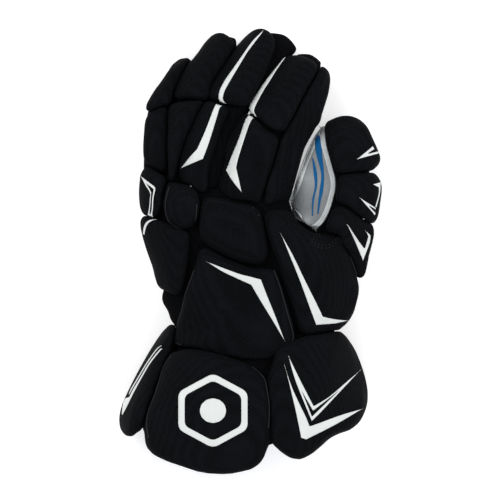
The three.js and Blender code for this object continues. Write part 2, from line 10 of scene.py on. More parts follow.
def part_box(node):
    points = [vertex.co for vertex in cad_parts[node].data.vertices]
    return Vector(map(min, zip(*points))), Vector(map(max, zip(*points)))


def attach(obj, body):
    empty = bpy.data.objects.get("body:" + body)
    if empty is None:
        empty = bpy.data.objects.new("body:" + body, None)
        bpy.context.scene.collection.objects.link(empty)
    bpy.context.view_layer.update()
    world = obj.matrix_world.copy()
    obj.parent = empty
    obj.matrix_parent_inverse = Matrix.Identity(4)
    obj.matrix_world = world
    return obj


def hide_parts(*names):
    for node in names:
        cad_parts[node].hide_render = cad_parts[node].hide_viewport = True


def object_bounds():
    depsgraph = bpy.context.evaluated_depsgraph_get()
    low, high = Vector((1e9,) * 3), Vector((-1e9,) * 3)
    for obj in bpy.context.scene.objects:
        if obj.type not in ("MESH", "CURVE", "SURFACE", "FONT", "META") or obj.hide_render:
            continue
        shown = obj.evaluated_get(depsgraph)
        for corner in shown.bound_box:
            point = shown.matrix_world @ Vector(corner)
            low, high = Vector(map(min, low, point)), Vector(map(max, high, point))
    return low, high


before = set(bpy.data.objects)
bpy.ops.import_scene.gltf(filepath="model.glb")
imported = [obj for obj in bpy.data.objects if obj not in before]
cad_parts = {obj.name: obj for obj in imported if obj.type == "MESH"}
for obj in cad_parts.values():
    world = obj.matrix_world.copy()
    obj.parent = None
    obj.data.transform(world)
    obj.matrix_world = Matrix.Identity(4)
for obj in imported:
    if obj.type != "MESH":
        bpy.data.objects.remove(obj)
cad_low, cad_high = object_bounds()
scene = bpy.context.scene
MM = 0.001

# The photograph: a pixel's length at the glove's middle height, the pixel that shows the frame's origin
# there, and the picture's width. Then the camera: its sensor and lens in millimetres, how far it sees, the
# glove's middle height, and how high the camera hangs to see just the picture.
PIXEL = 0.747 * MM
MIDDLE_PX = (250.1, 249.75)
VIEW_PX = 500
SENSOR = 36
LENS = 200
CAMERA_SIGHT = 100
MIDDLE_HEIGHT = (cad_low.z + cad_high.z) / 2
CAMERA_HEIGHT = MIDDLE_HEIGHT + VIEW_PX * PIXEL * LENS / SENSOR

# The sky's even light, and how much the floor glows
WORLD_LIGHT = 0.7
FLOOR_GLOW = 0.45

# The weave's angle across the glove in radians, and its scale upwards, where its cells are longer
WEAVE_TURN = 0.6
WEAVE_HEIGHT = 0.6

# The covers of the pads and the skin of the inner glove: mesh size, rounds of softening, the share of the
# skin's faces that is kept, and how far the skin is puffed out
PAD_VOXEL = 1.4 * MM
SKIN_VOXEL = 1.2 * MM
PAD_SOFTENING = 9
SKIN_SOFTENING = 40
SOFTENING_FACTOR = 0.5
WELD = 0.001 * MM
SKIN_KEPT = 0.5
SKIN_PUFF = 0.8 * MM

# The stuffing: frames and quality of the cloth, its pressure, the most that a point may move, and a way so
# short that it counts as none
SWELL_FRAMES = 20
SWELL_QUALITY = 4
SWELL_PRESSURE = 4
SWELL_REACH = 2.0 * MM
NO_WAY = 1e-9

# Covers bulge until they nearly meet: how far where nothing is near, the most towards a neighbour, the gap
# that stays, how far off a neighbour counts, and over how many rings of vertices this is evened out
GROW_FREE = 0.7 * MM
GROW_MOST = 2.2 * MM
GROW_CLEAR = 0.15 * MM
GROW_SIGHT = 9 * MM
GROW_EVENING = 8

# A cover's lower rim: how far down its faces look there, and how many times it is evened
RIM_TILT = -0.1
RIM_EVENING = 12

# Trim: its grid, how near a cut takes a vertex that is there, its lift and thickness, how far an outline is
# drawn in, the points of a curve between two knots, the looks for the nearest surface at a piece's edge, when
# two points are one, and when a tip is sharp
TRIM_STEP = 1.5 * MM
CUT_SNAP = 1e-7
TRIM_LIFT = 0.1 * MM
TRIM_THICKNESS = 0.2 * MM
TRIM_INSET_PX = 0.3
CURVE_STEPS = 5
EDGE_LOOKS = 6
SAME_PX = 0.01
SHARP_TURN = -0.6

# Where a sidewall's fabric gives way to the palm's leather, by the height of the face's direction
SIDEWALL_TILT = -0.35

# How far the thumb's leather runs on below the fabric of its outer side
LEATHER_TUCK_PX = 6

FINGER_NAMES = ["index", "middle", "ring", "pinky"]
PAD_NODES = [
    *[f"{finger}_tip_pad" for finger in FINGER_NAMES],
    *[f"{finger}_mid_pad" for finger in FINGER_NAMES],
    "index_side_panel",
    "knuckle_side_pad",
    "knuckle_pad",
    "knuckle_wide_pad",
    "pinky_side_pad",
    "back_pad",
    "thumb_base_pad",
    "thumb_tip_pad",
    "thumb_mid_pad",
    "thumb_low_pad",
    "cuff_pad_pinky",
    "cuff_pad_middle",
    "cuff_pad_thumb",
]
FABRIC_NODES = ["hand_back", *[f"{finger}_back" for finger in FINGER_NAMES]]
LEATHER_NODES = ["hand_palm", "thumb_leather", *[f"{finger}_palm" for finger in FINGER_NAMES]]

# White trim, in pixels of the photograph. An outline is a list of edges that meet in corners, and each edge
# is a smooth line through its points. Each stripe names the pads that carry it, its outline and, in two of
# them, the outline of a slot in it.
STRIPES = {
    "middle_tip_stripe": (
        ["middle_tip_pad"],
        [
            [
                (263.6, 30), (253, 40.5), (246, 50), (239, 60), (232, 70),
                (225, 80), (219.8, 90), (218.5, 97), (219.5, 101),
            ],
            [(219.5, 101), (225, 105)],
            [(225, 105), (226.7, 104)],
            [
                (226.7, 104), (223.3, 99.5), (223.4, 96), (225.4, 90),
                (231, 80), (237, 70), (243, 60), (249, 50.5), (264, 31),
            ],
        ],
    ),
    "index_tip_stripe": (
        ["index_tip_pad"],
        [
            [
                (287.8, 53), (282, 60), (274, 70), (266, 80),
                (259, 90), (252.3, 100), (250.4, 103.6), (248.8, 108),
            ],
            [(248.8, 108), (251.7, 114.6)],
            [(251.7, 114.6), (257.5, 117.5)],
            [
                (257.5, 117.5), (254.6, 112), (254.8, 108.5), (257.2, 103),
                (264.3, 90), (270.8, 80), (277, 70), (289, 53),
            ],
        ],
    ),
    "middle_mid_stripe": (
        ["middle_mid_pad"],
        [
            [(216, 104), (213.5, 109), (205, 131), (197, 149)],
            [(197, 149), (189, 158), (180.5, 168.7)],
            [(180.5, 168.7), (203, 159)],
            [(203, 159), (208, 146), (213.5, 129), (218, 114), (220, 108), (222.5, 106)],
            [(222.5, 106), (216, 104)],
        ],
    ),
    "index_mid_stripe": (
        ["index_mid_pad"],
        [
            [(248.5, 115.4), (245, 120.5), (239, 138), (232, 155), (226, 170.5)],
            [(226, 170.5), (233, 182), (242, 193)],
            [(242, 193), (239, 179), (236.5, 168)],
            [(236.5, 168), (239, 157), (248, 129), (252, 120), (254.5, 117.5)],
            [(254.5, 117.5), (248.5, 115.4)],
        ],
    ),
    "knuckle_side_stripe": (
        ["knuckle_side_pad"],
        [
            [(140.6, 175.6), (154.2, 186)],
            [
                (154.2, 186), (155.6, 189), (154.2, 196), (153.5, 201),
                (153.2, 208), (152.6, 213.7), (153.6, 217.6),
            ],
            [(153.6, 217.6), (147.7, 215)],
            [(147.7, 215), (149, 208), (149.7, 200), (149.9, 193), (145.6, 185.6), (140.6, 175.6)],
        ],
        [
            [(146.2, 183), (153.7, 189.2)],
            [(153.7, 189.2), (152.9, 195), (152.2, 200), (151.9, 208), (150.8, 213.7)],
            [(150.8, 213.7), (149.5, 214.2)],
            [(149.5, 214.2), (150.1, 208), (150.7, 200), (151, 195), (150.8, 191.5), (146.2, 183)],
        ],
    ),
    "side_arc": (
        ["pinky_side_pad"],
        [
            [(143, 234), (143.8, 227), (146.4, 222), (150.5, 219.7), (157.5, 219.4)],
            [(157.5, 219.4), (152.3, 221), (148.3, 223.8), (146, 228.9), (144.8, 235)],
            [(144.8, 235), (143, 234)],
        ],
    ),
    "back_stripe": (
        ["back_pad"],
        [
            [(205.5, 261), (221, 267), (239, 273.6), (250, 276.4), (261, 279.3)],
            [(261, 279.3), (268, 297.5), (276.5, 318.6), (285.6, 343)],
            [(285.6, 343), (272, 320), (261, 302), (251, 285)],
            [(251, 285), (235.5, 278), (221, 271), (205.5, 261)],
        ],
    ),
    "thumb_base_stripe": (
        ["thumb_base_pad"],
        [
            [(280, 232), (287.7, 251), (299, 279), (310, 309), (316, 325)],
            [(316, 325), (330, 324), (338, 323), (348.7, 320.4)],
            [(348.7, 320.4), (335, 319), (322.8, 316.4)],
            [(322.8, 316.4), (316, 302), (304.5, 279), (293, 255), (280, 232)],
        ],
    ),
    "thumb_tip_chevron": (
        ["thumb_tip_pad"],
        [
            [(356.2, 159.7), (372.7, 146)],
            [(372.7, 146), (374.5, 149.2)],
            [(374.5, 149.2), (367.5, 153.8)],
            [(367.5, 153.8), (378.5, 151)],
            [(378.5, 151), (378.8, 153.6)],
            [(378.8, 153.6), (356.2, 159.7)],
        ],
    ),
    "thumb_mid_chevron": (
        ["thumb_mid_pad"],
        [
            [(372.4, 184.3), (380.5, 182)],
            [(380.5, 182), (380, 193), (376.3, 207.5)],
            [(376.3, 207.5), (374.8, 207)],
            [(374.8, 207), (378.2, 194), (378.3, 187.5)],
            [(378.3, 187.5), (372.4, 184.3)],
        ],
    ),
    "thumb_fold_chevron": (
        ["thumb_mid_pad"],
        [
            [(358.8, 197), (375.4, 207.5)],
            [(375.4, 207.5), (376, 210)],
            [(376, 210), (368.5, 205.5)],
            [(368.5, 205.5), (375.5, 213)],
            [(375.5, 213), (374.8, 215.6)],
            [(374.8, 215.6), (358.8, 197)],
        ],
    ),
    "thumb_low_stripe": (
        ["thumb_low_pad", "thumb_base_pad"],
        [
            [(346.7, 224.1), (349, 226.2), (358.6, 240.6), (364.6, 248.8)],
            [(364.6, 248.8), (368, 236.3)],
            [(368, 236.3), (365, 230)],
            [(365, 230), (370.6, 235.3)],
            [(370.6, 235.3), (369.9, 242), (366.7, 251), (363, 261)],
            [(363, 261), (354.3, 240.6), (346.7, 224.1)],
        ],
    ),
    "cuff_outer_chevron": (
        ["cuff_pad_thumb"],
        [
            [(284, 363), (295, 409), (301, 438)],
            [(301, 438), (306, 439.6)],
            [(306, 439.6), (335, 425), (363, 408.5)],
            [(363, 408.5), (340.5, 415), (316, 424), (309.5, 426)],
            [(309.5, 426), (306, 417), (298, 400.5), (291, 384.5), (284, 363)],
        ],
    ),
    "cuff_inner_chevron": (
        ["cuff_pad_thumb"],
        [
            [(288.5, 356), (291, 367), (296, 383), (303, 400.5), (311.6, 421.4)],
            [(311.6, 421.4), (322, 411), (338, 394), (361.4, 369)],
            [(361.4, 369), (346, 382), (329, 396.5), (313.6, 406)],
            [(313.6, 406), (300.3, 380), (289.6, 358), (288.5, 356)],
        ],
        [
            [(301.4, 390.4), (313, 410.6)],
            [(313, 410.6), (339.8, 389.8)],
            [(339.8, 389.8), (311.8, 416.8)],
            [(311.8, 416.8), (301.4, 390.4)],
        ],
    ),
    "cuff_side_outer_stripe": (
        ["cuff_pad_pinky"],
        [
            [(161.4, 345), (155.6, 350), (146.4, 363), (137.4, 378), (130.4, 390), (128.8, 394.5)],
            [(128.8, 394.5), (129.6, 395)],
            [(129.6, 395), (132.2, 390), (139.2, 378), (148.2, 363), (157.4, 350), (162.2, 345.8)],
            [(162.2, 345.8), (161.4, 345)],
        ],
    ),
    "cuff_side_inner_stripe": (
        ["cuff_pad_pinky"],
        [
            [(161.8, 348.4), (159.1, 350), (148.9, 363), (140, 378), (132.8, 390), (129.4, 397)],
            [(129.4, 397), (124.8, 399), (122.8, 405), (121.8, 414.4)],
            [(121.8, 414.4), (122.8, 415)],
            [
                (122.8, 415), (126.2, 409), (130.1, 401), (135.7, 390),
                (142.2, 378), (151.1, 363), (161.4, 350),
            ],
            [(161.4, 350), (162.8, 349.2), (161.8, 348.4)],
        ],
    ),
}

# The blue lines on the thumb's leather, an outline each
BLUE_STRIPES = {
    "leather_wide_stripe": [
        [
            (317.7, 131.2), (315, 139), (315.6, 152.5), (320.9, 173.7),
            (319.3, 189.6), (318, 201.3), (316.8, 214),
        ],
        [(316.8, 214), (318.5, 214)],
        [(318.5, 214), (320.9, 201.3), (323.5, 189.6), (324.2, 173.7), (322.2, 152.5), (322.5, 142)],
        [(322.5, 142), (317.7, 131.2)],
    ],
    "leather_thin_stripe": [
        [(311.8, 156.7), (313.4, 173.7), (314.5, 186.4), (311.8, 201.3), (311.6, 216)],
        [(311.6, 216), (313.2, 216)],
        [(313.2, 216), (314, 201.3), (317.2, 186.4), (317.2, 173.7), (314, 160), (311.8, 156.7)],
    ],
}

# Where the thumb's leather meets the fabric of its outer side, and how far that fabric reaches from there
LEATHER_EDGE = [
    (322, 118), (324, 129), (325.6, 144), (331, 163),
    (335.7, 184), (332, 202), (325.6, 219), (316, 229),
]
GUSSET_FAR = [(326, 250), (352, 252), (364, 205), (362, 165), (345, 124)]

# The welt all round the leather that shows, and the width of the band inside it, pale as painted light
LEATHER_BAND_PX = 4
LEATHER_RIM = [
    (324, 128), (325, 144), (330, 163), (334.6, 184), (331, 202), (324.6, 218),
    (316, 227.4), (308.5, 228), (301.5, 216), (295, 208.7), (290, 206),
    (289.6, 199), (296.6, 184.3), (303, 165.2), (311.5, 145), (322, 125),
]

# The piping's cloth is lighter than the pads' cloth: a painted highlight along the pads' edges
# Piping along pad edges: the pads that carry it and the points that its line runs through. Then the radius
# of piping and of the thumb's welt, how much of it their middle stands out, and how often the line is evened.
PIPING = {
    "back_pad_piping": (
        ["back_pad"],
        [(273.7, 270.5), (280, 287.5), (286, 309), (292.3, 331), (293.6, 338), (290.5, 343.5)],
    ),
    "back_pad_low_piping": (
        ["back_pad"],
        [(194.4, 270.3), (189.5, 284), (183.8, 298), (177, 320), (173.5, 334), (174, 341.5), (181, 344.5)],
    ),
    "knuckle_wide_piping": (["knuckle_wide_pad"], [(252, 208), (257.5, 209), (258.5, 216)]),
    "knuckle_piping": (
        ["knuckle_pad"],
        [
            (169.5, 187), (166, 200), (166, 214), (171.5, 224.5),
            (182, 228.5), (190.5, 228), (195.5, 219), (196.5, 204),
        ],
    ),
    "thumb_base_piping": (["thumb_base_pad"], [(339, 233.5), (345.5, 244), (352, 262), (356.5, 275)]),
    "cuff_middle_piping": (
        ["cuff_pad_middle"],
        [(256, 362), (262.5, 371), (267, 391), (269, 408), (268.2, 428)],
    ),
    "cuff_middle_low_piping": (
        ["cuff_pad_middle"],
        [(171.5, 355.5), (164, 366), (160, 380), (155, 396), (149, 410), (147, 424), (149, 438)],
    ),
}
PIPING_RADIUS = 0.45 * MM
WELT_RADIUS = 0.8 * MM
CORD_RISE = 0.6
CORD_EVENING = 6

# The tape round the lining's mouth: how thick it is, how many points it has, how high above the floor they
# are looked for from, and how many millimetres in from the mouth
BINDING_RADIUS = 1.4 * MM
BINDING_STEPS = 60
BINDING_FROM = 12 * MM
BINDING_LOOK = 26

# Pulls that fit the soft pieces to the photograph, each with its middle, how far it draws to the right, down
# and up out of the picture, in pixels, and its reach around. The whole ones draw on every piece.
WHOLE_PULLS = [
    ((218, 42), (-1, -3, 0), 16),
    ((262, 36), (0, -3, 0), 14),
    ((185, 66), (-3, -2, 0), 18),
    ((324, 72), (2, 0, 0), 14),
    ((150, 110), (-2, 0, 0), 22),
    ((366, 124), (1, -2, 0), 16),
]
HAND_PULLS = [((170, 303), (-13, 0, 0), 17), ((178, 322), (-7, 0, 0), 12), ((300, 213), (-5, 4, 0), 10)]
MIDDLE_SIDE_PULLS = [((292, 50), (9, 0, 0), 20), ((283, 40), (3, -2, 0), 14), ((211, 99), (-4, 0, 0), 12)]
RING_SIDE_PULL = ((205, 99), (4, 0, 0), 12)
PULLS = {
    "back_pad": [((225, 352), (0, 6, 0), 34), ((288, 346), (1, 8, 0), 14)],
    "cuff_pad_thumb": [
        ((282, 352), (-5, -5, 0), 14),
        ((346, 348), (1.5, -1, 0), 30),
        ((335, 438), (-3, -2, 0), 18),
    ],
    "cuff_pad_pinky": [((140, 370), (0.5, 0, 0), 30)],
    "pinky_side_pad": [((146, 225), (-2, -5, 0), 14)],
    "middle_mid_pad": [((208, 186), (2, 7, 0), 16), ((222, 150), (3, 0, 0), 16)],
    "ring_mid_pad": [((172, 172), (0, 6, 0), 14), ((205, 102), (4, -3, 0), 10)],
    "ring_tip_pad": [((204, 96), (3, 2, 0), 10)],
    "index_mid_pad": [((228, 186), (-3, 4, 0), 16), ((236, 140), (-4, 0, 0), 22)],
    "index_side_panel": [((290, 200), (-2, 4, 0), 14), ((306, 150), (-2, 0, 0), 22)],
    "knuckle_pad": [((192, 190), (0, -4, 0), 12)],
    "knuckle_wide_pad": [((215, 203), (0, -3, 0), 14)],
    "thumb_tip_pad": [((378, 158), (1, 0, 0), 12), ((330, 160), (1, 2, 0), 12)],
    "thumb_mid_pad": [((378, 190), (1, 0, 0), 16), ((370, 215), (2, 3, 0), 12)],
    "thumb_low_pad": [
        ((360, 266), (1, 7, 0), 12),
        ((346, 244), (-3, 1, 0), 12),
        ((372, 226), (1, -3, 0), 12),
        ((369, 252), (-1, 0, 0), 14),
    ],
    "thumb_leather": [
        ((300, 178), (0, 0, 14), 20),
        ((308, 140), (0, 0, 10), 14),
        ((306, 218), (0, 0, 11), 16),
        ((305, 222), (-2, 2, 11), 9),
    ],
    "thumb_base_pad": [((301, 216), (-3, 4, 0), 12)],
    "hand_back": HAND_PULLS,
    "hand_palm": HAND_PULLS,
    "middle_back": [*MIDDLE_SIDE_PULLS, ((232, 186), (0, 6, 0), 12)],
    "middle_palm": MIDDLE_SIDE_PULLS,
    "ring_back": [((200, 184), (0, 6, 0), 12), RING_SIDE_PULL],
    "ring_palm": [RING_SIDE_PULL],
    "pinky_back": [((165, 178), (0, 6, 0), 12)],
    "index_back": [((264, 192), (0, 6, 0), 14)],
    "cuff_lining": [((275, 452), (0, -16, 0), 22), ((142, 434), (4, -5, 0), 12)],
}

# Stitched seams, drawn like the piping, and a stitch's length, pitch, radius and how much of that radius its
# middle stands out
SEAMS = {
    "thumb_seam": (["thumb_base_pad"], [(312, 237.5), (318.5, 244.5), (329.5, 244.5), (339, 236)]),
    "thumb_seam_twin": (["thumb_base_pad"], [(311, 240), (318, 247.3), (330, 247.3), (340, 238.5)]),
}
STITCH_LENGTH = 2.0 * MM
STITCH_PITCH = 2.9 * MM
STITCH_RADIUS = 0.28 * MM
STITCH_RISE = 0.4

# The plain motif on the middle cuff pad: its middle, half its width and height and the ring's width in
# pixels, the dot's share of that size, how far the ring is turned, and the corners of both with the share of
# an edge that rounds them
BADGE_MIDDLE = (213, 410.7)
BADGE_HALF = (40.2, 37.7)
BADGE_RING = 7.5
BADGE_DOT = 0.34
BADGE_TURN = math.pi / 6
BADGE_CORNERS = 6
BADGE_CORNER_ROUND = 0.16
DOT_CORNERS = 12
DOT_CORNER_ROUND = 0.4

# Weave: how irregular its cells are, the distances from a cell's middle between which the shade runs, and
# the shades there
CELL_RANDOMNESS = 0.25
CELL_REACH = (0.1, 0.5)
CELL_SHADE = (0.1, 2.1)

# All materials: the sheen's roughness, the noise values between which a colour's patches run, and the finest
# grain in cells a metre
SHEEN_ROUGHNESS = 0.45
PATCH_RANGE = (0.3, 0.7)
FINE_GRAIN = 900.0

# Stage: the floor's half width and its grey, and the lamps' places, sizes and watts
FLOOR_HALF = 12
FLOOR_GREY = 0.8
SOFTBOXES = {
    "key_light": ((-1.6, 1.6, 2.2), 1.6, 34),
    "fill_light": ((1.9, 0.6, 1.9), 1.6, 22),
    "back_light": ((0.2, -2.2, 1.7), 1.4, 12),
}


# Materials


def material_nodes(name, base, roughness, specular=0.5, sheen=0.0):
    """A new material with its Principled shader, the place on the object, and calls to add and join nodes."""
    material = bpy.data.materials.new(name)
    material.use_nodes = True
    tree = material.node_tree
    shader = tree.nodes["Principled BSDF"]
    shader.inputs["Base Color"].default_value = (*base, 1)
    shader.inputs["Roughness"].default_value = roughness
    shader.inputs["Specular IOR Level"].default_value = specular
    shader.inputs["Sheen Weight"].default_value = sheen
    shader.inputs["Sheen Roughness"].default_value = SHEEN_ROUGHNESS
    place = tree.nodes.new("ShaderNodeTexCoord").outputs["Object"]

    def add(kind, **values):
        node = tree.nodes.new(kind)
        for key, value in values.items():
            if key in node.inputs:
                node.inputs[key].default_value = value
            else:
                setattr(node, key, value)
        return node

    def join(source, target):
        tree.links.new(source, target)

    return material, shader, place, add, join


def varied(place, add, join, base, spread, scale):
    """The base colour, varied by a share of itself in soft patches of 1 / scale metres."""
    noise = add("ShaderNodeTexNoise", Scale=scale, Detail=3.0)
    join(place, noise.inputs["Vector"])
    ramp = add("ShaderNodeValToRGB")
    for end, position, shade in zip(ramp.color_ramp.elements, PATCH_RANGE, (1 - spread, 1 + spread)):
        end.position = position
        end.color = (*[c * shade for c in base], 1)
    join(noise.outputs["Fac"], ramp.inputs["Fac"])
    return ramp.outputs["Color"]


def bumped(shader, add, join, layers):
    """Adds bump layers, each a height output, its depth in metres and its strength."""
    normal = None
    for height, depth, strength in layers:
        bump = add("ShaderNodeBump", Strength=strength, Distance=depth)
        join(height, bump.inputs["Height"])
        if normal:
            join(normal, bump.inputs["Normal"])
        normal = bump.outputs["Normal"]
    join(normal, shader.inputs["Normal"])


def mesh_fabric(name, base, pitch, depth, roughness=0.75, sheen=0.004):
    """Knitted mesh: small cells in rows, dark in the middle and lighter along the yarn round them."""
    material, shader, place, add, join = material_nodes(name, base, roughness, specular=0.03, sheen=sheen)
    turned = add("ShaderNodeMapping", Rotation=(0, 0, WEAVE_TURN), Scale=(1, 1, WEAVE_HEIGHT))
    join(place, turned.inputs["Vector"])
    cells = add("ShaderNodeTexVoronoi", Scale=1 / pitch, Randomness=CELL_RANDOMNESS)
    join(turned.outputs["Vector"], cells.inputs["Vector"])
    yarn = add("ShaderNodeTexNoise", Scale=3 / pitch, Detail=2.0)
    join(place, yarn.inputs["Vector"])
    sockets = ("From Min", "From Max", "To Min", "To Max")
    hole = add("ShaderNodeMapRange", **dict(zip(sockets, (*CELL_REACH, *CELL_SHADE))))
    join(cells.outputs["Distance"], hole.inputs["Value"])
    patches = varied(place, add, join, base, spread=0.12, scale=45)
    tint = add("ShaderNodeMix", data_type="RGBA", blend_type="MULTIPLY")
    tint.inputs["Factor"].default_value = 1
    join(patches, tint.inputs["A"])
    join(hole.outputs["Result"], tint.inputs["B"])
    join(tint.outputs["Result"], shader.inputs["Base Color"])
    layers = [(cells.outputs["Distance"], depth, 0.6), (yarn.outputs["Fac"], depth / 3, 0.3)]
    bumped(shader, add, join, layers)
    return material


def grained_leather(name, base):
    """Leather with fine grain and soft creases."""
    material, shader, place, add, join = material_nodes(name, base, roughness=0.52, specular=0.4, sheen=0.1)
    join(varied(place, add, join, base, spread=0.24, scale=45), shader.inputs["Base Color"])
    grain = add("ShaderNodeTexVoronoi", Scale=FINE_GRAIN, Randomness=1.0)
    join(place, grain.inputs["Vector"])
    creases = add("ShaderNodeTexNoise", Scale=120.0, Detail=5.0)
    join(place, creases.inputs["Vector"])
    layers = [(creases.outputs["Fac"], 1.2 * MM, 0.5), (grain.outputs["Distance"], 0.2 * MM, 0.5)]
    bumped(shader, add, join, layers)
    return material


def printed_film(name, base, roughness=0.45, specular=0.45):
    """Thin rubbery film pressed onto the weave, which shows through it a little."""
    material, shader, place, add, join = material_nodes(name, base, roughness, specular)
    join(varied(place, add, join, base, spread=0.03, scale=80), shader.inputs["Base Color"])
    weave = add("ShaderNodeTexVoronoi", Scale=FINE_GRAIN, Randomness=0.15)
    join(place, weave.inputs["Vector"])
    bumped(shader, add, join, [(weave.outputs["Distance"], 0.12 * MM, 0.35)])
    return material


def floor_paint():
    """A lit table's pale top, which glows a little from below."""
    grey = (FLOOR_GREY, FLOOR_GREY, FLOOR_GREY)
    material, shader, place, add, join = material_nodes("floor_paint", grey, roughness=0.9, specular=0.1)
    join(varied(place, add, join, grey, spread=0.004, scale=3), shader.inputs["Base Color"])
    shader.inputs["Emission Color"].default_value = (1, 1, 1, 1)
    shader.inputs["Emission Strength"].default_value = FLOOR_GLOW
    return material


PAD_CLOTH = mesh_fabric("pad_cloth", (0.0019, 0.0021, 0.0027), pitch=1.6 * MM, depth=0.4 * MM)
# Darker than the pads' cloth: painted shade for the valleys between the pads, wherever this cloth shows
SKIN_CLOTH_PAINTED_SHADE = mesh_fabric(
    "skin_cloth_painted_shade", (0.0012, 0.0013, 0.0016), pitch=1.0 * MM, depth=0.2 * MM, roughness=0.9, sheen=0.003
)
# Leather darkened to grey as painted shade for the thumb leather's hollow middle; the palms share it
LEATHER = grained_leather("grey_leather_painted_shade", (0.2, 0.215, 0.225))
# A paler copy of the same leather for the band and welt round the thumb's leather: painted light on its rim
PAINTED_LIGHT_LEATHER = grained_leather("pale_leather_painted_light", (0.5, 0.53, 0.54))
LINING_CLOTH = mesh_fabric(
    "lining_cloth", (0.008, 0.03, 0.11), pitch=1.5 * MM, depth=0.3 * MM, roughness=0.85, sheen=0.05
)
WHITE_FILM = printed_film("white_film", (0.66, 0.69, 0.68))
BLUE_FILM = printed_film("blue_film", (0.001, 0.085, 0.24), roughness=0.6, specular=0.12)
# Lighter than the pads' cloth: painted highlight along the pads' edges
PIPING_CLOTH_PAINTED_HIGHLIGHT = printed_film("piping_cloth_painted_highlight", (0.012, 0.013, 0.0145), roughness=0.7, specular=0.2)
THREAD = printed_film("thread", (0.014, 0.0155, 0.017), roughness=0.7, specular=0.2)


# Meshes


def vertices_of(mesh):
    """The places of a mesh's vertices, a row each."""
    points = np.empty(len(mesh.vertices) * 3)
    mesh.vertices.foreach_get("co", points)
    return points.reshape(-1, 3)


def put_vertices(mesh, points):
    """Moves a mesh's points, none of them below the floor."""
    points[:, 2] = np.maximum(points[:, 2], 0)
    mesh.vertices.foreach_set("co", points.ravel())
    mesh.update()


def pulled(piece, pulls):
    """Draws a soft piece's points as the pulls say, most at the middle of each."""
    points = vertices_of(piece.data)
    for place, (right, down, up), reach in pulls:
        middle = at_pixel(*place)
        apart = np.hypot(points[:, 0] - middle.x, points[:, 1] - middle.y)
        share = np.exp(-((apart / (reach * PIXEL)) ** 2))
        points += share[:, None] * np.array([right, -down, up]) * PIXEL
    put_vertices(piece.data, points)


def evened(values, mesh, times):
    """Values at a mesh's vertices, each averaged again and again with its neighbours'."""
    ends = np.empty(len(mesh.edges) * 2, dtype=np.int32)
    mesh.edges.foreach_get("vertices", ends)
    first, last = ends.reshape(-1, 2).T
    count = np.maximum(np.bincount(ends, minlength=len(values)), 1)
    for _ in range(times):
        around = np.bincount(first, values[last], len(values)) + np.bincount(last, values[first], len(values))
        values = (values + around / count) / 2
    return values


def normals_of(mesh):
    """The directions out of a mesh at its vertices, a row each."""
    normals = np.empty(len(mesh.vertices) * 3)
    mesh.vertex_normals.foreach_get("vector", normals)
    return normals.reshape(-1, 3)


def new_piece(name, mesh, material):
    """A named piece of the glove that rides on its body."""
    piece = bpy.data.objects.new(name, mesh)
    scene.collection.objects.link(piece)
    mesh.materials.clear()
    mesh.materials.append(material)
    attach(piece, "root")
    return piece


def bake(piece):
    """Applies the piece's modifiers to its mesh."""
    depsgraph = bpy.context.evaluated_depsgraph_get()
    mesh = bpy.data.meshes.new_from_object(piece.evaluated_get(depsgraph))
    old = piece.data
    piece.modifiers.clear()
    piece.data = mesh
    mesh.shade_smooth()
    bpy.data.meshes.remove(old)


def softened_copy(node, voxel, softening):
    """The CAD node's form as an even, softened mesh."""
    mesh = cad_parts[node].data.copy()
    shape = bmesh.new()
    shape.from_mesh(mesh)
    bmesh.ops.remove_doubles(shape, verts=shape.verts, dist=WELD)
    shape.to_mesh(mesh)
    shape.free()
    piece = bpy.data.objects.new("soft_" + node, mesh)
    scene.collection.objects.link(piece)
    remesh = piece.modifiers.new("even", "REMESH")
    remesh.mode = "VOXEL"
    remesh.voxel_size = voxel
    smooth = piece.modifiers.new("soften", "SMOOTH")
    smooth.factor = SOFTENING_FACTOR
    smooth.iterations = softening
    return piece


# Pads


def make_pads():
    """The soft covers of the pads, by node."""
    pads = {node: softened_copy(node, PAD_VOXEL, PAD_SOFTENING) for node in PAD_NODES}
    for node, pad in pads.items():
        bake(pad)
        pulled(pad, [*WHOLE_PULLS, *PULLS.get(node, [])])
        pad.data.materials.clear()
        pad.data.materials.append(PAD_CLOTH)
        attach(pad, "root")
        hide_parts(node)
    swell(pads.values())
    grow(list(pads.values()))
    return pads


def swell(pads):
    """Stuffs the covers: cloth under pressure, with each point's way capped."""
    before = {pad: vertices_of(pad.data) for pad in pads}
    for pad in pads:
        cloth = pad.modifiers.new("swell", "CLOTH")
        cloth.settings.quality = SWELL_QUALITY
        cloth.settings.use_pressure = True
        cloth.settings.uniform_pressure_force = SWELL_PRESSURE
        cloth.settings.effector_weights.gravity = 0
        cloth.point_cache.frame_end = SWELL_FRAMES
    for number in range(1, SWELL_FRAMES + 1):
        scene.frame_set(number)
    for pad in pads:
        bake(pad)
        start = before[pad]
        way = vertices_of(pad.data) - start
        length = np.linalg.norm(way, axis=1, keepdims=True)
        way *= np.minimum(1, SWELL_REACH / np.maximum(length, NO_WAY))
        put_vertices(pad.data, start + way)
    scene.frame_set(1)


